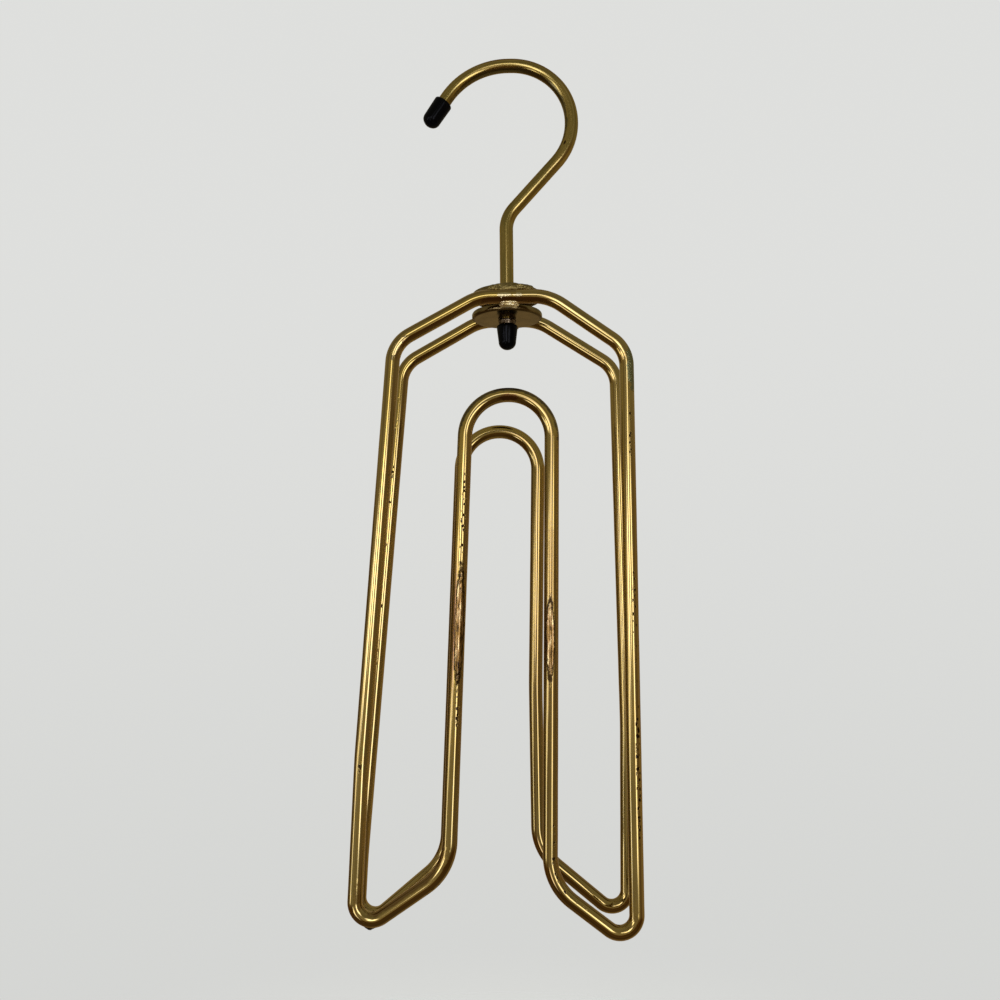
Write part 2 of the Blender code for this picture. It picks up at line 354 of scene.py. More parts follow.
    def close(self):
        lacquer = brass["coat"] - brass["coatDulled"] * self.dull
        self.finish.surface({
            "Base Color": self.colour, "Metallic": 1.0, "Roughness": self.rough,
            "Specular Tint": brass["edge"], "Coat Weight": (1 - self.bare) * lacquer,
            "Coat Roughness": brass["coatRoughness"],
            "Normal": self.finish.bump(self.height, brass["grain"]),
        })
        return self.material


def acrossWire(mark):
    # middle and half width of a mark across the wire
    level = (mark["high"] + mark["low"]) / 2 * wire["radius"]
    return level, (mark["high"] - mark["low"]) / 2 * wire["radius"]


def markAt(kind, start, end, low, high, **more):
    # where it lies along the straightened wire, in metres, and across it, as shares of its radius
    return {"kind": kind, "from": start, "to": end, "low": low, "high": high, **more}


def wireFinish(name, marks, roughness, dull):
    skin = WireSkin(name, roughness, dull)
    for mark in marks:
        skin.add(mark)
    return skin.close()


discShades = {"light": (0.180, 0.132, 0.054), "dark": (0.135, 0.098, 0.038), "edge": (0.80, 0.74, 0.62, 1)}


def discFinish():
    material, finish = newMaterial("discBrass")
    spot = finish.place()
    centred = finish.node("ShaderNodeVectorMath", {"operation": "SUBTRACT"}, {0: spot, 1: tuple(swivel)})
    right, away = finish.parts(centred)[:2]
    radius = right.math("SQRT", right.squared() + away.squared())
    lathe = finish.node("ShaderNodeCombineXYZ", {}, {0: radius * 4200.0, 1: 0.0, 2: 0.0})
    rings = finish.cloud(lathe, 1.0, 3.0, 0.6)
    broad = finish.cloud(spot, 160.0, 3.0, 0.6)
    speck = finish.cloud(spot, 1500.0, 3.0, 0.7)
    colour = finish.mixed(finish.fade(broad, 0.42, 0.62), discShades["light"], discShades["dark"])
    colour = finish.mixed(finish.fade(speck, 0.68, 0.76) * 0.6, colour, brass["brown"])
    # painted shade: a dark line round the disc where its flat meets the rounded rim
    colour = finish.mixed(finish.window(radius, *disc["grime"]) * 0.8, colour, brass["crust"])
    finish.surface({
        "Base Color": colour, "Metallic": 1.0, "Roughness": 0.11 + 0.10 * broad + 0.04 * rings,
        "Specular Tint": discShades["edge"], "Normal": finish.bump(rings * 0.6 + speck * 0.2, 0.000010),
    })
    return material


collarShades = {"bare": (0.150, 0.115, 0.070), "dirty": (0.022, 0.012, 0.005)}


def collarFinish():
    material, finish = newMaterial("collarBrass")
    grime = finish.cloud(finish.place(), 1100.0, 4.0, 0.6)
    colour = finish.mixed(finish.fade(grime, 0.40, 0.62), collarShades["bare"], collarShades["dirty"])
    finish.surface({
        "Base Color": colour, "Metallic": 1.0, "Roughness": 0.14 + 0.3 * grime,
        "Normal": finish.bump(grime, 0.00003),
    })
    return material


# dull and bright colour of each kind of brazing, how dirty and rough it is, and how deep its grain
brazeShades = {
    "brazeMetal": ((0.15, 0.11, 0.035), (0.20, 0.15, 0.05), 0.6, 0.34, 0.00004),
    # a lighter copy of the brazing metal: brazing, with a painted highlight where the lumps glint
    "brazeWithPaintedHighlight": ((0.62, 0.50, 0.24), (0.84, 0.74, 0.46), 0.15, 0.24, 0.00003),
    "brazeBurnt": ((0.030, 0.018, 0.006), (0.075, 0.050, 0.020), 0.7, 0.25, 0.00008),
}


def brazeFinish(name):
    dull, bright, dirt, roughness, depth = brazeShades[name]
    material, finish = newMaterial(name)
    spot = finish.place()
    lump = finish.cloud(spot, 620.0, 4.0, 0.65)
    grain = finish.cloud(spot, 3200.0, 3.0, 0.6)
    colour = finish.mixed(finish.fade(lump, 0.40, 0.60), dull, bright)
    colour = finish.mixed(finish.fade(grain, 0.60, 0.72) * dirt, colour, brass["crust"])
    finish.surface({
        "Base Color": colour, "Metallic": 1.0, "Roughness": roughness + 0.2 * lump,
        "Normal": finish.bump(lump * 0.8 + grain * 0.2, depth),
    })
    return material


capShades = {"black": (0.0012, 0.0012, 0.0014), "rubbed": (0.0045, 0.0045, 0.0048)}


def capFinish():
    material, finish = newMaterial("capVinyl")
    spot = finish.place()
    grain = finish.cloud(spot, 4200.0, 2.0, 0.5)
    rub = finish.cloud(spot, 420.0, 4.0, 0.6)
    colour = finish.mixed(finish.fade(rub, 0.52, 0.72) * 0.5, capShades["black"], capShades["rubbed"])
    finish.surface({
        "Base Color": colour, "Roughness": 0.12 + 0.10 * rub, "Specular IOR Level": 0.04,
        "Normal": finish.bump(grain * 0.3 + rub * 0.7, 0.00002),
    })
    return material


# Bent wire

def arcsOf(corners, closed):
    # each corner becomes the start, the end, the centre and the turn of its bend
    arcs = []
    last = len(corners) - 1
    for i, (x, z, radius) in enumerate(corners):
        corner = Vector((x, 0, z))
        if not closed and i in (0, last):
            arcs.append((corner, corner, corner, 0.0))
            continue
        before, after = corners[i - 1], corners[(i + 1) % len(corners)]
        back = (Vector((before[0], 0, before[1])) - corner).normalized()
        ahead = (Vector((after[0], 0, after[1])) - corner).normalized()
        turn = math.pi - back.angle(ahead)
        cut = radius * math.tan(turn / 2)
        centre = corner + (back + ahead).normalized() * (radius / math.cos(turn / 2))
        sense = 1 if back.cross(ahead).y < 0 else -1
        arcs.append((corner + back * cut, corner + ahead * cut, centre, sense * turn))
    return arcs


class WireBender:
    # grows one tube of wire, ring by ring, and notes on each point its place on the straight wire
    def __init__(self, y):
        self.shape = bmesh.new()
        self.spot = self.shape.verts.layers.float_vector.new("spot")
        self.y = y
        self.travelled = 0.0
        self.centres = []

    def start(self, centre, direction):
        self.centre = Vector((centre.x, self.y, centre.z))
        self.direction = direction
        facing = direction.to_track_quat("Z", "Y").to_matrix().to_4x4()
        made = bmesh.ops.create_circle(
            self.shape, cap_ends=False, segments=wire["sides"], radius=wire["radius"],
            matrix=Matrix.Translation(self.centre) @ facing,
        )
        self.ring = made["verts"]
        self.rim = list({e for v in self.ring for e in v.link_edges})
        self.firstRing = list(self.ring)
        self.note()

    def outward(self):
        return Vector((-self.direction.z, 0, self.direction.x))

    def note(self):
        for v in self.ring:
            offset = v.co - self.centre
            v[self.spot] = (self.travelled, offset.dot(self.outward()), -offset.y)
        self.centres.append(self.centre.copy())

    def take(self, grown):
        self.ring = [g for g in grown if isinstance(g, bmesh.types.BMVert)]
        self.rim = [g for g in grown if isinstance(g, bmesh.types.BMEdge)]
        self.note()

    def runTo(self, target):
        target = Vector((target.x, self.y, target.z))
        length = (target - self.centre).length
        if length < wire["seam"] / 10:
            return
        steps = max(1, math.ceil(length / wire["runStep"]))
        step = (target - self.centre) / steps
        for _ in range(steps):
            grown = bmesh.ops.extrude_edge_only(self.shape, edges=self.rim)["geom"]
            verts = [g for g in grown if isinstance(g, bmesh.types.BMVert)]
            bmesh.ops.translate(self.shape, verts=verts, vec=step)
            self.centre = self.centre + step
            self.travelled += step.length
            self.take(grown)

    def bendRound(self, centre, turn):
        if not turn:
            return
        hub = Vector((centre.x, self.y, centre.z))
        steps = max(2, math.ceil(abs(turn) / wire["bendStep"]))
        swing = Matrix.Rotation(turn / steps, 3, "Y")
        for _ in range(steps):
            grown = bmesh.ops.spin(
                self.shape, geom=self.rim, cent=hub, axis=(0, 1, 0), angle=turn / steps, steps=1,
                use_duplicate=False,
            )["geom_last"]
            spoke = self.centre - hub
            self.centre = hub + swing @ spoke
            self.direction = (swing @ self.direction).normalized()
            self.travelled += spoke.length * abs(turn) / steps
            self.take(grown)

    def follow(self, corners, closed):
        arcs = arcsOf(corners, closed)
        if closed:  # begins in the middle of the top bar, where the brazing hides the seam
            begin = (arcs[0][1] + arcs[1][0]) / 2
            arcs = arcs[1:] + arcs[:1]
        else:
            begin = arcs[0][0]
            arcs = arcs[1:]
        if not self.centres:
            self.start(begin, (arcs[0][0] - begin).normalized())
        for bendStart, _, centre, turn in arcs:
            self.runTo(bendStart)
            self.bendRound(centre, turn)
        if closed:
            back = (begin - Vector((self.centre.x, 0, self.centre.z))).normalized()
            self.runTo(begin - back * wire["seam"])
            self.runTo(begin)
            bmesh.ops.remove_doubles(self.shape, verts=self.firstRing + self.ring, dist=wire["seam"] / 10)

    def finishMesh(self, name, closed):
        shape = self.shape
        bmesh.ops.recalc_face_normals(shape, faces=shape.faces)
        shape.normal_update()
        total = self.travelled
        for v in shape.verts:
            along, side, front = v[self.spot]
            calm = min(1.0, along / wire["calm"], (total - along) / wire["calm"]) if closed else 1.0
            place = Vector((along, side, front)) / wire["waverLength"]
            v.co += v.normal * wire["waver"] * calm * noise.noise(place)
        placeLayer = shape.loops.layers.float_vector.new("wirePlace")
        for face in shape.faces:
            far = max(v[self.spot][0] for v in face.verts)
            for corner in face.loops:
                place = corner.vert[self.spot].copy()
                if closed and far - place.x > total / 2:
                    place.x += total
                corner[placeLayer] = place
            face.smooth = True
        mesh = bpy.data.meshes.new(name)
        shape.to_mesh(mesh)
        shape.free()
        return mesh


def roundEdge(centreRadius, level, radius, first, last, points=6):
    # a rounded edge of a turned profile, between two angles in degrees
    made = []
    for i in range(points):
        angle = math.radians(first + (last - first) * i / (points - 1))
        made.append((centreRadius + radius * math.cos(angle), level + radius * math.sin(angle)))
    return made


def addPiece(name, mesh, material, body, slot, *stoodFor):
    piece = bpy.data.objects.new(name, mesh)
    scene.collection.objects.link(piece)
    mesh.materials.append(material)
    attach(piece, body)
    if stoodFor:
        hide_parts(*stoodFor)


# Loops

loops = {
    "height": 0.2200,
    "halfWidth": 0.0480,
    "offset": 0.0156,  # from the stem's axis to the middle of each loop's wire
    "bar": 0.0175,  # this and the next four are radii of bends
    "shoulder": 0.0115,
    "foot": 0.0057,
    "heel": 0.0180,
    "bow": 0.2500,
    "dull": 0.08,  # how far the shine has gone
}

# across as a share of halfWidth to the right, down as a share of height, and the bend's name
frontCornerShares = {
    "leftBarEnd": (-0.203, 0.001, "bar"),
    "rightBarEnd": (0.305, 0.001, "bar"),
    "rightShoulder": (0.860, 0.0877, "shoulder"),
    "rightFoot": (0.848, 1.000, "foot"),
    "rightHeel": (0.260, 0.904, "heel"),
    "rightArch": (0.319, 0.160, "arch"),
    "leftArch": (-0.297, 0.160, "arch"),
    "leftHeel": (-0.434, 0.8835, "heel"),
    "leftFoot": (-1.0885, 0.9775, "foot"),
    "leftBow": (-1.037, 0.716, "bow"),
    "leftShoulder": (-0.8215, 0.0755, "shoulder"),
}
backCornerShares = {
    "leftBarEnd": (-0.215, 0.000, "bar"),
    "rightBarEnd": (0.239, 0.000, "bar"),
    "rightShoulder": (0.851, 0.0865, "shoulder"),
    "rightBow": (0.878, 0.685, "bow"),
    "rightFoot": (0.852, 1.005, "foot"),
    "rightHeel": (0.196, 0.888, "heel"),
    "rightInnerBow": (0.190, 0.620, "bow"),
    "rightArch": (0.2335, 0.1939, "arch"),
    "leftArch": (-0.358, 0.1939, "arch"),
    "leftHeel": (-0.4915, 0.8993, "heel"),
    "leftFoot": (-1.1605, 1.018, "foot"),
    "leftBow": (-1.132, 0.894, "bow"),
    "leftShoulder": (-0.827, 0.0765, "shoulder"),
}

frontMarks = [
    # solder along the bar's highlight band: partly painted highlight
    markAt("solder", 0.0003, 0.0034, -0.35, 0.30),
    markAt("solder", 0.8733, 0.8784, -0.35, 0.30),
    # painted dark reflection: dark red on the lower half of the top bar, each side of the brazing
    markAt("stain", -0.0135, 0.0135, -1.30, -0.25, shade="red", strength=0.60),
    markAt("stain", 0.8651, 0.8921, -1.30, -0.25, shade="red", strength=0.60),
    # painted dark reflection along the top of the arch
    markAt("stain", 0.4130, 0.4700, -1.50, -0.35, shade="grime", strength=0.85),
    markAt("stain", 0.4365, 0.4450, 0.00, 0.90, shade="red", strength=0.80),
    # dark red along the inner flank of the left heel and foot
    markAt("stain", 0.6020, 0.6420, -1.30, -0.40, shade="red", strength=0.60),
    markAt("verdigris", 0.044, 0.059, 0.00, 1.60),
    markAt("stain", 0.0450, 0.0590, -0.10, 1.60, shade="verdigris", strength=0.75),
    markAt("pits", 0.064, 0.084, 0.0, 0.5, spacing=900, few=0.50),
    markAt("pits", 0.118, 0.154, 0.10, 0.65, spacing=860, few=0.45),
    markAt("pits", 0.155, 0.212, 0.15, 0.75, spacing=760, few=0.32),
    markAt("pits", 0.256, 0.292, -0.60, -0.20, spacing=760, few=0.60),
    markAt("stain", 0.356, 0.388, -0.50, 0.70, shade="brown", strength=0.45),
    markAt("copper", 0.3370, 0.3600, -0.35, 0.65, flank=1),
    markAt("pits", 0.476, 0.518, -0.1, 0.5, spacing=860, few=0.30),
    markAt("copper", 0.5120, 0.5450, -0.30, 0.75, flank=-1),
    markAt("pits", 0.540, 0.563, 0.15, 0.6, spacing=820, few=0.35),
    markAt("pits", 0.609, 0.618, 0.6, 1.0, spacing=520, few=0.40),
    markAt("pits", 0.688, 0.695, -0.2, 0.4, spacing=520, few=0.40),
    markAt("scuff", 0.8285, 0.8375, -0.45, 0.25),
    markAt("dent", 0.043, 0.051, -1.0, 0.2, ripple=420.0, depth=1.0),
    markAt("dent", 0.232, 0.242, -1.0, 0.4, ripple=380.0, depth=1.0),
    markAt("dent", 0.601, 0.609, -1.0, 0.4, ripple=380.0, depth=1.0),
    markAt("dent", 0.643, 0.654, -1.0, 0.4, ripple=380.0, depth=1.0),
]
backMarks = [
    markAt("pits", 0.140, 0.152, 0.0, 0.5, spacing=760, few=0.50),
    markAt("pits", 0.700, 0.830, -0.1, 0.4, spacing=620, few=0.80),
    markAt("dent", 0.235, 0.246, -1.0, 0.4, ripple=380.0, depth=1.0),
    markAt("dent", 0.600, 0.612, -1.0, 0.4, ripple=380.0, depth=0.9),
]


def loopCorners(cornerShares):
    half, height = loops["halfWidth"], loops["height"]
    spread = (cornerShares["rightArch"][0] - cornerShares["leftArch"][0]) * half / 2
    lean = math.atan2(
        (cornerShares["leftArch"][0] - cornerShares["leftHeel"][0]) * half,
        (cornerShares["leftHeel"][1] - cornerShares["leftArch"][1]) * height,
    )
    bends = {**loops, "arch": spread * math.cos(lean)}
    return [
        (stemX + across * half, barZ - down * height, bends[bend])
        for across, down, bend in cornerShares.values()
    ]


def makeLoop(name, cornerShares, y, marks):
    bender = WireBender(y)
    bender.follow(loopCorners(cornerShares), True)
    mesh = bender.finishMesh(name, True)
    metal = wireFinish(name + "Brass", marks, brass["roughness"], loops["dull"])
    addPiece(name + "_wire", mesh, metal, "frame_body", "loop_wire", name)
    print(name, "bent from", round(bender.travelled, 4), "m of wire")
    return bender


# Hook

hook = {
    "height": 0.0934,
    "reach": 0.0246,  # from the stem's axis to the far side
    "kneeHeight": 0.03445,
    "lean": math.radians(48.3),  # of the slanted run, from level
    "tipStart": 0.0135,
    "tipFall": math.radians(56.2),
    "tipRun": 0.0260,
    "knee": 0.0120,  # this and the next three are radii of bends
    "side": 0.0230,
    "top": 0.0222,
    "tip": 0.0276,
    "stemDrop": 0.0135,
    "endRound": 0.0005,
    "stemRings": 8,
    "dull": 0.80,
    "rougher": 0.06,  # than the loops
}
swage = {"radius": 0.0030, "height": 0.0013, "edge": 0.0003, "flare": 0.0004, "flareMiddle": (0.4, 0.3)}
hookMarks = [
    markAt("pits", 0.075, 0.090, -0.2, 0.5, spacing=420, few=0.70),
    markAt("stain", 0.128, 0.136, 0.2, 0.9, shade="brown", strength=0.45),
    # painted dark reflection along the hook's outer side
    markAt("stain", 0.060, 0.170, 0.55, 1.60, shade="grime", strength=0.70),
    # painted dark reflection under the top of the hook
    markAt("stain", 0.108, 0.142, -1.20, -0.50, shade="red", strength=0.65),
    markAt("pits", 0.163, 0.174, -0.3, 0.3, spacing=420, few=0.60),
]


def stemProfile():
    # radius and level up the stem, with the swaged ring above the upper disc
    radius = wire["radius"]
    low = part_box("upper_disc")[1].z + gap
    high = low + swage["height"]
    end, edge, ringEdge = barZ - hook["stemDrop"], hook["endRound"], swage["edge"]
    points = [(0, end)] + roundEdge(radius - edge, end + edge, edge, -90, 0, 5)
    steps = hook["stemRings"]
    points += [(radius, end + edge + (low - end - edge) * i / steps) for i in range(1, steps + 1)]
    points += roundEdge(swage["radius"] - ringEdge, low + ringEdge, ringEdge, -90, -30, 3)
    points.append((swage["radius"], (low + high) / 2))
    points += roundEdge(swage["radius"] - ringEdge, high - ringEdge, ringEdge, 30, 90, 3)
    flare, (outward, upward) = swage["flare"], swage["flareMiddle"]
    points.append((radius + flare * outward, high + flare * upward))
    points.append((radius, high + flare))
    return points


def makeHook():
    profile = stemProfile()
    bender = WireBender(0.0)
    shape = bender.shape
    verts = [shape.verts.new((stemX + across, 0, level)) for across, level in profile]
    edges = [shape.edges.new(pair) for pair in zip(verts, verts[1:])]
    bmesh.ops.spin(
        shape, geom=edges, cent=(stemX, 0, 0), axis=(0, 0, 1), angle=2 * math.pi, steps=wire["sides"],
        use_merge=True, use_duplicate=False,
    )
    bmesh.ops.remove_doubles(shape, verts=shape.verts, dist=samePoint)
    bottom, top = profile[0][1], profile[-1][1]
    for v in shape.verts:
        v[bender.spot] = (v.co.z - bottom, stemX - v.co.x, -v.co.y)
    bender.centre = Vector((stemX, 0, top))
    bender.direction = Vector((0, 0, 1))
    bender.travelled = top - bottom
    bender.ring = [v for v in shape.verts if v.co.z > top - samePoint]
    bender.rim = [e for e in shape.edges if all(v.co.z > top - samePoint for v in e.verts)]
    bender.centres.append(bender.centre.copy())
    kneeZ = barZ + hook["kneeHeight"]
    sideX = stemX + hook["reach"]
    topZ = barZ + hook["height"]
    tipX = stemX - hook["tipStart"]
    run, fall = hook["tipRun"], hook["tipFall"]
    bender.follow([
        (stemX, top, 0),
        (stemX, kneeZ, hook["knee"]),
        (sideX, kneeZ + hook["reach"] * math.tan(hook["lean"]), hook["side"]),
        (sideX, topZ, hook["top"]),
        (tipX, topZ, hook["tip"]),
        (tipX - math.cos(fall) * run, topZ - math.sin(fall) * run, 0),
    ], False)
    bmesh.ops.holes_fill(shape, edges=bender.rim, sides=0)
    mesh = bender.finishMesh("hook", False)
    metal = wireFinish("hookBrass", hookMarks, brass["roughness"] + hook["rougher"], hook["dull"])
    addPiece("hook_wire", mesh, metal, "hook_body", "hook_wire", "hook")
    print("hook bent from", round(bender.travelled, 4), "m of wire")


# Turned pieces

def spinProfile(profile, closedRing, steps=96):
    shape = bmesh.new()
    verts = [shape.verts.new((across, 0, level)) for across, level in profile]
    pairs = list(zip(verts, verts[1:] + verts[:1] * closedRing))
    edges = [shape.edges.new(pair) for pair in pairs]
    bmesh.ops.spin(
        shape, geom=edges, cent=(0, 0, 0), axis=(0, 0, 1), angle=2 * math.pi, steps=steps,
        use_merge=True, use_duplicate=False,
    )
    bmesh.ops.remove_doubles(shape, verts=shape.verts, dist=samePoint)
    bmesh.ops.recalc_face_normals(shape, faces=shape.faces)
    for face in shape.faces:
        face.smooth = True
    return shape


def toMesh(shape, name):
    mesh = bpy.data.meshes.new(name)
    shape.to_mesh(mesh)
    shape.free()
    return mesh


disc = {
    "radius": 0.0128,
    "thickness": 0.0024,
    "edge": 0.0009,
    "bore": 0.0028,
    "boreEdge": 0.0002,
    "land": 0.0032,  # where the flat begins, round the bore
    "rings": 10,  # across the flat, for its dents to show
    "dent": 0.00004,
    "dentScale": 180,
    "grime": (0.0118, 0.0124, 0.0003),  # painted shade: a dark line near the rim, where the flat meets the rounded edge: from, to and how soft
}


def makeDisc(name, seed):
    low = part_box(name)[0]
    rim = disc["radius"] - disc["edge"]
    top, thick, lip = disc["thickness"], disc["edge"], disc["boreEdge"]
    flats = [rim - (rim - disc["land"]) * i / disc["rings"] for i in range(1, disc["rings"])]
    profile = (
        roundEdge(disc["bore"] + lip, top - lip, lip, 180, 90, 4)
        + [(r, top) for r in reversed(flats)]
        + roundEdge(rim, top - thick, thick, 90, 0, 8)
        + roundEdge(rim, thick, thick, 0, -90, 8)
        + [(r, 0) for r in flats]
        + roundEdge(disc["bore"] + lip, lip, lip, 270, 180, 4)
    )
    shape = spinProfile(profile, True)
    bmesh.ops.translate(shape, verts=shape.verts, vec=(stemX, 0, low.z))
    shape.normal_update()
    for v in shape.verts:
        hollow = abs(noise.noise(v.co * disc["dentScale"] + Vector((seed, 0, 0))))
        v.co += v.normal * -disc["dent"] * hollow
    addPiece(name + "_plate", toMesh(shape, name), discBrass, "frame_body", "disc", name)


collar = {
    "taper": 0.00032,
    "edge": 0.00008,
    "flankShares": ((0.72, 0.0), (0.50, 0.35), (0.22, 1.0)),  # how high, and how much of the taper there
}


def makeCollar():
    name = "retaining_collar"
    low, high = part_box(name)
    height, radius, edge = high.z - low.z, (high.x - low.x) / 2, collar["edge"]
    waist = radius - collar["taper"]
    flank = [(radius - collar["taper"] * share, height * level) for level, share in collar["flankShares"]]
    profile = (
        [(disc["bore"], height)]
        + roundEdge(radius - edge, height - edge, edge, 90, 0, 4)
        + flank
        + roundEdge(waist - edge, edge, edge, 0, -90, 4)
        + [(disc["bore"], 0)]
    )
    shape = spinProfile(profile, True, 64)
    bmesh.ops.translate(shape, verts=shape.verts, vec=(stemX, 0, low.z))
    addPiece(name + "_ring", toMesh(shape, name), collarFinish(), "hook_body", "collar", name)


cap = {
    "bore": 0.0028,
    "wall": 0.0015,
    "nose": 0.0030,
    "noseSteps": 14,
    "lip": 0.0006,
    "mouth": 0.0002,  # the bore ends this far under the rim
    "waver": 0.00005,
    "waverScale": 300,
    "stemRadius": 0.0038,
    "stemNose": 0.0032,
    "tipLength": 0.0110,
    "tipRadius": 0.0035,
    "tipNose": 0.00335,
}


def makeCap(name, length, radius, noseRadius, place, seed):
    noseStart = cap["nose"] - length
    floor = cap["wall"] - length  # bottom of the bore
    profile = (
        [(0, floor), (cap["bore"], floor), (cap["bore"], -cap["mouth"])]
        + roundEdge(radius - cap["lip"], -cap["lip"], cap["lip"], 90, 0, 6)
        + [(radius, -cap["lip"] * 2), ((radius + noseRadius) / 2, noseStart * 0.6)]
    )
    for i in range(cap["noseSteps"]):
        angle = math.pi / 2 * i / cap["noseSteps"]
        profile.append((noseRadius * math.cos(angle), noseStart - cap["nose"] * math.sin(angle)))
    profile.append((0, -length))
    shape = spinProfile(profile, False, 64)
    shape.normal_update()
    for v in shape.verts:
        if v.co.xy.length > cap["bore"] + gap or v.co.z < floor - cap["wall"] / 2:
            unevenness = noise.noise(v.co * cap["waverScale"] + Vector((seed, 0, 0))) - 0.5
            v.co += v.normal * cap["waver"] * unevenness
    bmesh.ops.transform(shape, matrix=place, verts=shape.verts)
    addPiece(name + "_vinyl", toMesh(shape, name), capVinyl, "hook_body", "end_cap", name)


def makeCaps():
    low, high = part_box("stem_end_cap")
    underStem = Matrix.Translation((stemX, 0, high.z))
    makeCap("stem_end_cap", high.z - low.z, cap["stemRadius"], cap["stemNose"], underStem, 3)
    fall = hook["tipFall"]
    back = hook["tipRun"] + gap + cap["wall"] - cap["tipLength"]
    mouth = Vector((
        stemX - hook["tipStart"] - back * math.cos(fall), 0, barZ + hook["height"] - back * math.sin(fall),
    ))
    onTip = Matrix.Translation(mouth) @ Matrix.Rotation(math.pi / 2 - fall, 4, "Y")
    makeCap("hook_tip_cap", cap["tipLength"], cap["tipRadius"], cap["tipNose"], onTip, 8)


# Brazing: each lump is a middle from the swivel, half its size, and how rough it is
brazes = {
    "front_upper_braze": (
        ((0.0012, -0.0143, 0.0031), (0.0086, 0.0017, 0.0021), 0.16),
        ((-0.0046, -0.0150, 0.0029), (0.0022, 0.0014, 0.0014), 0.24),
        ((0.0050, -0.0148, 0.0032), (0.0026, 0.0013, 0.0013), 0.24),
    ),
    "front_lower_braze": (
        ((0.0008, -0.0148, -0.0029), (0.0037, 0.0022, 0.0010), 0.08),
        ((0.0009, -0.0161, -0.0025), (0.0034, 0.0013, 0.0007), 0.08),
        ((0.0013, -0.0158, -0.0034), (0.0025, 0.0013, 0.0006), 0.06),
    ),
    "back_upper_braze": (
        ((0.0006, 0.0143, 0.0031), (0.0078, 0.0017, 0.0020), 0.18),
        ((-0.0030, 0.0149, 0.0030), (0.0026, 0.0014, 0.0014), 0.24),
    ),
    "back_lower_braze": (((0.0004, 0.0151, -0.0028), (0.0040, 0.0023, 0.0011), 0.14),),
}
# drips of the same metal on the front of the bar, in the same way
crumbs = (
    ((-0.0028, -0.01720, -0.0004), (0.0008, 0.00085, 0.00060), 0.20),
    ((-0.0018, -0.01712, -0.0011), (0.0011, 0.00088, 0.00050), 0.20),
    ((0.0056, -0.01718, -0.0007), (0.0007, 0.00085, 0.00050), 0.20),
)
lumpShape = {"swellScale": 1.6, "crumbScale": 5.0, "crumbShare": 0.4, "coreShare": 0.95}


def lumpMesh(name, lumps, detail):
    shape = bmesh.new()
    for i, (middle, size, roughness) in enumerate(lumps):
        seed = i * 3 + 1
        made = bmesh.ops.create_icosphere(shape, subdivisions=detail, radius=1.0)
        for v in made["verts"]:
            swell = noise.noise(v.co * lumpShape["swellScale"] + Vector((seed, 0, 0)))
            crumb = noise.noise(v.co * lumpShape["crumbScale"] + Vector((0, seed, 0)))
            bumps = (swell + crumb * lumpShape["crumbShare"]) * roughness
            v.co = v.co * (lumpShape["coreShare"] + bumps)
        bmesh.ops.scale(shape, vec=size, verts=made["verts"])
        bmesh.ops.translate(shape, vec=swivel + Vector(middle), verts=made["verts"])
    for face in shape.faces:
        face.smooth = True
    return toMesh(shape, name)


def makeBrazes():
    for name, lumps in brazes.items():
        # the front lower lump and the crumbs on the bar take the lighter copy, as painted highlight
        metal = brazeWithPaintedHighlight if name == "front_lower_braze" else brazeMetal
        addPiece(name + "_lump", lumpMesh(name, lumps, 5), metal, "frame_body", "braze", name)
    addPiece("front_bar_crumbs", lumpMesh("crumbs", crumbs, 4), brazeWithPaintedHighlight, "frame_body", "braze")


nub = {
    "tip": Vector((-0.0482, -0.01555, -0.3040)),
    "radius": 0.0044,
    "point": 0.0004,
    "pointRoundShare": 0.8,
    "sharp": 0.5,  # an edge with a bigger angle than this gets rounded
    "height": 0.0021,
    "depthShare": 0.42,  # it is flatter from front to back
    "sides": 32,
    "rings": 8,
    "hollow": 0.08,
    "grain": 0.00008,
    "grainScale": 900,
}


def makeNub(frontBender):
    # a blunt point of burnt weld metal left under the front loop's left foot
    tip = nub["tip"]
    nearest = min(frontBender.centres, key=lambda centre: (centre - tip).length)
    downward = (tip - nearest).normalized()
    shape = bmesh.new()
    bmesh.ops.create_cone(
        shape, cap_ends=True, segments=nub["sides"], radius1=nub["radius"], radius2=nub["point"],
        depth=nub["height"],
    )
    topEdges = [e for e in shape.edges if e.calc_face_angle(0) > nub["sharp"] and e.verts[0].co.z > 0]
    bmesh.ops.bevel(
        shape, geom=topEdges, offset=nub["point"] * nub["pointRoundShare"], segments=4, profile=0.5,
        affect="EDGES", material=-1,
    )
    flanks = [e for e in shape.edges if abs(e.verts[0].co.z - e.verts[1].co.z) > nub["height"] / 2]
    bmesh.ops.subdivide_edges(shape, edges=flanks, cuts=nub["rings"], use_grid_fill=True)
    for v in shape.verts:
        rise = v.co.z / nub["height"] + 0.5
        v.co.xy *= 1 - nub["hollow"] * math.sin(math.pi * rise)
        v.co += v.normal * noise.noise(v.co * nub["grainScale"]) * nub["grain"]
    facing = downward.to_track_quat("Z", "Y").to_matrix().to_4x4()
    middle = tip - downward * nub["height"] / 2
    bmesh.ops.transform(shape, matrix=Matrix.Translation(middle) @ facing, verts=shape.verts)
    flatter = (1, nub["depthShare"], 1)
    bmesh.ops.scale(shape, vec=flatter, space=Matrix.Translation(-tip), verts=shape.verts)
    for face in shape.faces:
        face.smooth = True
    addPiece("foot_nub", toMesh(shape, "foot_nub"), brazeBurnt, "frame_body", "braze")


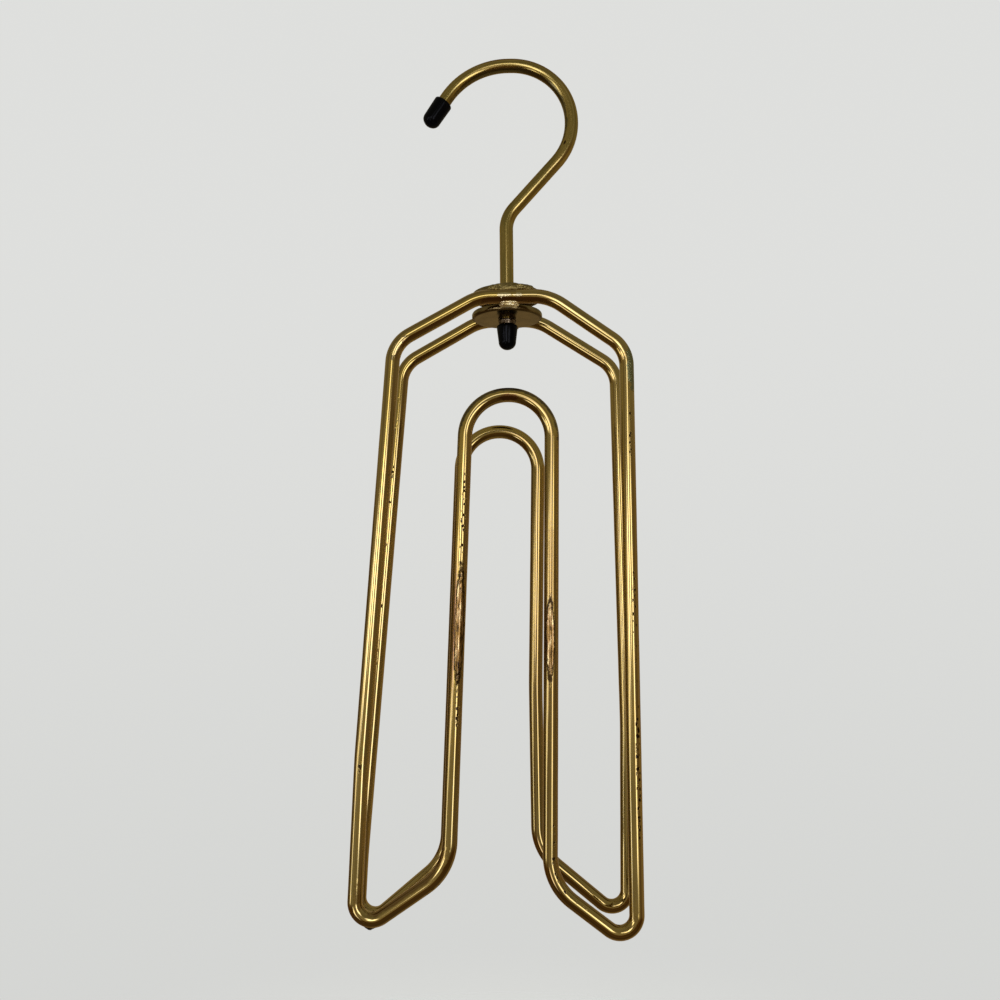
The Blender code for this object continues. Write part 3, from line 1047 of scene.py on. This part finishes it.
discBrass = discFinish()
capVinyl = capFinish()
brazeMetal = brazeFinish("brazeMetal")
brazeWithPaintedHighlight = brazeFinish("brazeWithPaintedHighlight")
brazeBurnt = brazeFinish("brazeBurnt")
frontBender = makeLoop("front_loop", frontCornerShares, -loops["offset"], frontMarks)
makeLoop("back_loop", backCornerShares, loops["offset"], backMarks)
makeHook()
makeDisc("upper_disc", 1)
makeDisc("lower_disc", 7)
makeCollar()
makeCaps()
print("discs, collar and caps turned")
makeBrazes()
makeNub(frontBender)
print("brazing done")

# Studio

studio = {
    "floorDrop": 0.11,  # below the loops' feet
    "floorReach": 0.34,  # the floor has faded out here
    "floorDiscShare": 1.1,  # of that reach, the floor's own radius
    "floorSolidShare": 0.2,  # of that reach, before it begins to fade
    "floorLow": (0.85, 0.86, 0.83),
    "floorHigh": (0.88, 0.89, 0.86),
    # painted shade: the backdrop is darker low down and lighter high up
    "backdropShadedLow": (0.655, 0.662, 0.645),
    "backdropLitHigh": (0.735, 0.740, 0.725),
    "daylight": (0.86, 0.86, 0.85),
    "surround": 2.2,  # radius of the shell that only the brass sees
    "softEdge": 3.0,  # of each window of light, in degrees as the hanger sees it
    "windowLight": (1.00, 1.04, 1.30),
}
# windows of light: bearing to the right of the front, height above the horizon, width, height, brightness
windows = (
    (-10, 3, 14, 13, 6.0),
    (-38, 0, 12, 12, 5.6),
    (-55, -3, 9, 13, 4.6),
    (-68, -13, 8, 12, 4.4),
    (-2, 14, 13, 11, 3.4),
    (23, -5, 14, 26, 4.8),
    (-28, -28, 14, 9, 4.2),
)
# colours of the dim room behind the windows
room = {
    "underfoot": (0.14, 0.09, 0.05),
    "carpet": (0.15, 0.075, 0.022),
    "carpetBehind": (0.34, 0.27, 0.17),
    "sideWall": (0.30, 0.23, 0.15),
    "frontWall": (0.50, 0.45, 0.35),
    "backWall": (0.38, 0.30, 0.19),
    "darkCorner": (0.12, 0.09, 0.05),
    "upperWall": (0.42, 0.39, 0.29),
    "ceiling": (0.36, 0.34, 0.26),
}


def floorFinish(middle):
    material, finish = newMaterial("paleFloor")
    spot = finish.place()
    distance = finish.node("ShaderNodeVectorMath", {"operation": "DISTANCE"}, {0: spot, 1: middle}, 1)
    colour = finish.mixed(finish.cloud(spot, 3.0, 2.0), studio["floorLow"], studio["floorHigh"])
    paint = finish.node("ShaderNodeBsdfPrincipled", {}, {"Base Color": colour, "Roughness": 0.8})
    nothing = finish.node("ShaderNodeBsdfTransparent")
    reach = studio["floorReach"]
    fading = finish.fade(distance, reach * studio["floorSolidShare"], reach)
    mix = finish.node("ShaderNodeMixShader", {}, {0: fading, 1: paint, 2: nothing})
    finish.node("ShaderNodeOutputMaterial", {}, {"Surface": mix})
    return material


def roomColour(finish, right, depth, rise):
    # brown below, a light wall in front, a dark corner back left, olive grey above
    below = finish.mixed(finish.fade(rise, -0.75, -0.45), room["underfoot"], room["carpet"])
    behindRight = finish.fade(depth, 0.0, 0.3) * finish.fade(right, -0.5, 0.0)
    below = finish.mixed(behindRight, below, room["carpetBehind"])
    wall = finish.mixed(finish.window(right, -0.98, 0.62, 0.16), room["sideWall"], room["frontWall"])
    wall = finish.mixed(finish.fade(depth, -0.2, 0.15), wall, room["backWall"])
    backLeft = finish.fade(right, -0.55, -0.8) * finish.fade(depth, 0.0, 0.2)
    wall = finish.mixed(backLeft, wall, room["darkCorner"])
    above = finish.mixed(finish.fade(rise, 0.2, 0.5), room["upperWall"], room["ceiling"])
    colour = finish.mixed(finish.fade(rise, -0.47, -0.30), below, wall)
    return finish.mixed(finish.fade(rise, 0.10, 0.26), colour, above)


def windowShine(finish, right, depth, rise):
    bearing = right.math("ARCTAN2", right, 0 - depth) * (180 / math.pi)
    height = rise.math("ARCSINE", rise) * (180 / math.pi)
    soft = studio["softEdge"]
    shine = None
    for across, up, width, tall, brightness in windows:
        lit = finish.window(bearing, across - width / 2, across + width / 2, soft)
        lit = lit * finish.window(height, up - tall / 2, up + tall / 2, soft) * brightness
        shine = lit if shine is None else shine + lit
    return shine


def surroundFinish(middle):
    # what the brass shows: a dim room with soft windows
    material, finish = newMaterial("dimSurround")
    spot = finish.place()
    direction = finish.node("ShaderNodeVectorMath", {"operation": "SUBTRACT"}, {0: spot, 1: middle})
    direction = finish.node("ShaderNodeVectorMath", {"operation": "NORMALIZE"}, {0: direction})
    right, depth, rise = finish.parts(direction)
    shine = windowShine(finish, right, depth, rise)
    sockets = {0: studio["windowLight"], "Scale": shine}
    light = finish.node("ShaderNodeVectorMath", {"operation": "SCALE"}, sockets)
    sockets = {0: roomColour(finish, right, depth, rise), 1: light}
    colour = finish.node("ShaderNodeVectorMath", {"operation": "ADD"}, sockets)
    glow = finish.node("ShaderNodeEmission", {}, {"Color": colour, "Strength": 1.0})
    finish.node("ShaderNodeOutputMaterial", {}, {"Surface": glow})
    return material


def stagePiece(name, shape, material):
    piece = bpy.data.objects.new(name, toMesh(shape, name))
    scene.collection.objects.link(piece)
    piece.data.materials.append(material)
    return piece


def makeStudio():
    middle = (cadBox[0] + cadBox[1]) / 2
    under = Vector((middle.x, middle.y, cadBox[0].z - studio["floorDrop"]))
    shape = bmesh.new()
    bmesh.ops.create_circle(
        shape, cap_ends=True, segments=64, radius=studio["floorReach"] * studio["floorDiscShare"],
        matrix=Matrix.Translation(under),
    )
    floor = stagePiece("floor", shape, floorFinish(under))
    floor.visible_glossy = False  # the surround stands in for a real room's darker floor

    shape = bmesh.new()
    bmesh.ops.create_uvsphere(
        shape, u_segments=64, v_segments=32, radius=studio["surround"], matrix=Matrix.Translation(middle),
    )
    surround = stagePiece("surround", shape, surroundFinish(middle))
    surround.visible_camera = False
    surround.visible_shadow = False
    surround.visible_diffuse = False


def lightRoom():
    # the pale backdrop for the camera and for gloss, painted darker towards the bottom as shade, and a
    # little more light on the floor
    world = bpy.data.worlds.new("room")
    scene.world = world
    finish = Finish(world)
    rise = finish.parts(finish.node("ShaderNodeTexCoord"))[2]
    backdrop = finish.mixed(finish.fade(rise, -0.5, 0.35), studio["backdropShadedLow"], studio["backdropLitHigh"])
    cameraRay = finish.node("ShaderNodeLightPath")
    glossyRay = Signal(finish, cameraRay.socket.node.outputs["Is Glossy Ray"])
    colour = finish.mixed(cameraRay.highest(glossyRay), studio["daylight"], backdrop)
    light = finish.node("ShaderNodeBackground", {}, {"Color": colour, "Strength": 1.0})
    finish.node("ShaderNodeOutputWorld", {}, {"Surface": light})


camera = {
    "place": Vector((0.000249, -0.35583, -0.19801)),
    "right": Vector((0.99987, 0.01392, -0.00844)),
    "up": Vector((0.00984, -0.10343, 0.99459)),
    "sensor": 36,
    "lens": 36,  # in the photograph's square frame, the view is as wide as it is far
}


def makeCamera():
    data = bpy.data.cameras.new("camera")
    data.sensor_width = camera["sensor"]
    data.lens = camera["lens"]
    eye = bpy.data.objects.new("camera", data)
    scene.collection.objects.link(eye)
    right = camera["right"].normalized()
    back = right.cross(camera["up"]).normalized()
    up = back.cross(right)
    aim = Matrix((right, up, back)).transposed().to_4x4()
    eye.matrix_world = Matrix.Translation(camera["place"]) @ aim
    data.clip_start = 0.01
    scene.camera = eye


makeStudio()
lightRoom()
makeCamera()
print("studio and camera ready")
